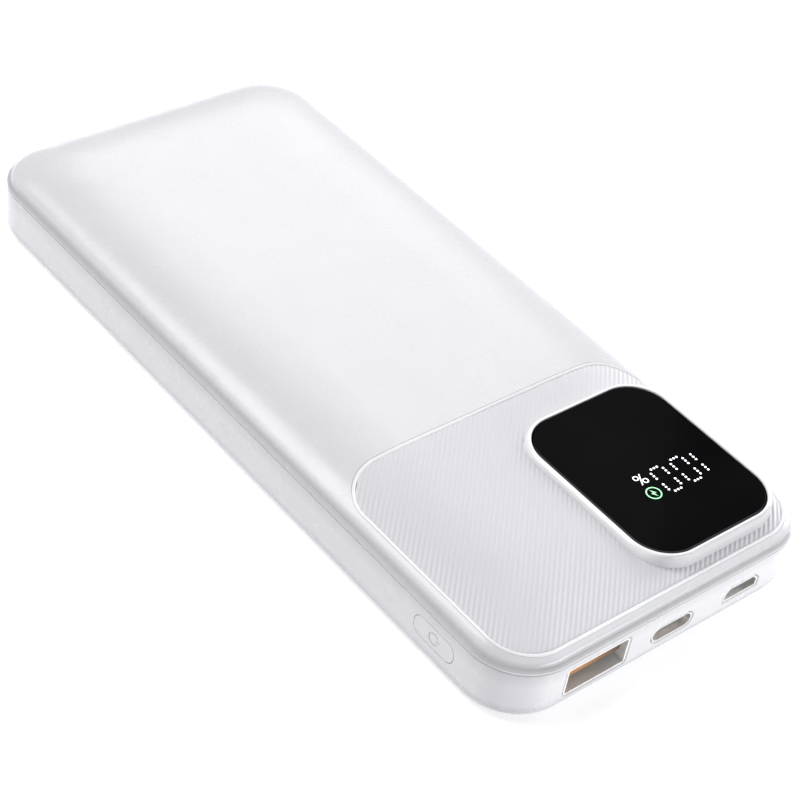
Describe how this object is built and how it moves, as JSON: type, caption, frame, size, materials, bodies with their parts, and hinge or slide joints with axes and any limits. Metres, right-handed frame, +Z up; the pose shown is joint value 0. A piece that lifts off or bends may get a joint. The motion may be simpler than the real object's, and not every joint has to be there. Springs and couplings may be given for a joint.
{
  "type": "power bank",
  "caption": "Flat rectangular portable battery pack with a crowned two-part case, ribbed panel, raised charge display, USB ports on the short end and a side power button.",
  "frame": {"origin": "middle of the case footprint at the underside it lies on", "axes": "+Z up through the cover, Y along the long sides with the ports on the -Y end, X across with the button on the -X side"},
  "size_m": [0.0674, 0.1502, 0.0159],
  "materials": {
    "case_white": "satin white moulded plastic",
    "panel_white": "white plastic with fine diagonal ribs",
    "bezel_white": "polished white plastic",
    "window_black": "polished smoked black",
    "light_white": "lit white mark",
    "light_green": "lit pale green mark",
    "module_black": "black moulded plastic",
    "board_green": "solder mask",
    "pin_gold": "plated",
    "steel_shell": "plated steel",
    "tongue_a": "orange-brown plastic",
    "tongue_dark": "black plastic",
    "screw_steel": "zinc plated",
    "ferrite": "dark grey ferrite",
    "chip_black": "moulded epoxy",
    "ceramic": "ceramic",
    "pouch": "laminated foil",
    "adhesive": "adhesive sheet",
    "foam": "closed-cell foam",
    "nickel": "nickel strip"
  },
  "bodies": {
    "pack": {"bottom_case": "case_white", "top_cover": "case_white", "ribbed_panel": "panel_white", "display_bezel": "bezel_white", "display_window": "window_black", "digit_lights": "light_white", "percent_light": "light_white", "charge_light": "light_green", "digit_module": "module_black", "display_board": "board_green", "header_pins": "pin_gold", "header_strip": "module_black", "usb_a_shell": "steel_shell", "usb_a_tongue": "tongue_a", "usb_a_contacts": "pin_gold", "usb_c_shell": "steel_shell", "usb_c_tongue": "tongue_dark", "usb_c_contacts": "pin_gold", "micro_usb_shell": "steel_shell", "micro_usb_tongue": "tongue_dark", "micro_usb_contacts": "pin_gold", "switch_body": "module_black", "main_board": "board_green", "board_screws": "screw_steel", "inductor": "ferrite", "boost_controller": "chip_black", "microcontroller": "chip_black", "power_transistors": "chip_black", "capacitors": "ceramic", "lower_cell": "pouch", "upper_cell": "pouch", "cell_pad": "adhesive", "cell_tape": "adhesive", "foam_pad": "foam", "positive_tab": "nickel", "negative_tab": "nickel"},
    "button": {"power_button": "case_white", "switch_plunger": "tongue_dark"}
  },
  "joints": [
    {"name": "button_press", "type": "slide", "parent": "pack", "child": "button", "axis": [1, 0, 0], "range_m": [0, 0.00035], "stiffness_N_per_m": 4000, "springref_m": -0.0003}
  ]
}
